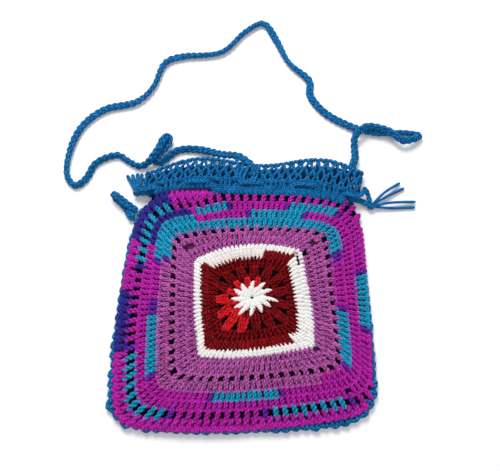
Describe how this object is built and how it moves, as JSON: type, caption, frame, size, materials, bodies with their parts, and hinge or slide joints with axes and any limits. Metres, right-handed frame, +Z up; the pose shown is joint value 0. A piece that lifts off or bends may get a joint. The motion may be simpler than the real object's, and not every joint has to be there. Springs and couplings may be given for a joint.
{
  "type": "crocheted granny square drawstring shoulder bag",
  "caption": "Flat crocheted shoulder bag of granny squares joined by a blue edge, with an open mesh drawstring mouth and a long braided cord strap.",
  "frame": {"origin": "on the table, under the middle of the bag as it lies on its back square", "axes": "+Z up out of the table through the front square, +Y from the bag's bottom edge to its mouth, +X to the right as seen from the front"},
  "size_m": [0.3863, 0.4647, 0.0284],
  "materials": {
    "variegated_yarn": "crocheted",
    "blue_yarn": "crocheted",
    "braided_cord": "braided"
  },
  "bodies": {
    "root": {"front_square": "variegated_yarn", "back_square": "variegated_yarn", "joining_edge": "blue_yarn", "mouth_band": "blue_yarn", "front_drawstring": "braided_cord", "back_drawstring": "braided_cord", "left_tassel": "braided_cord", "right_tassel": "braided_cord", "shoulder_strap": "braided_cord", "side_loop": "braided_cord"}
  },
  "joints": []
}
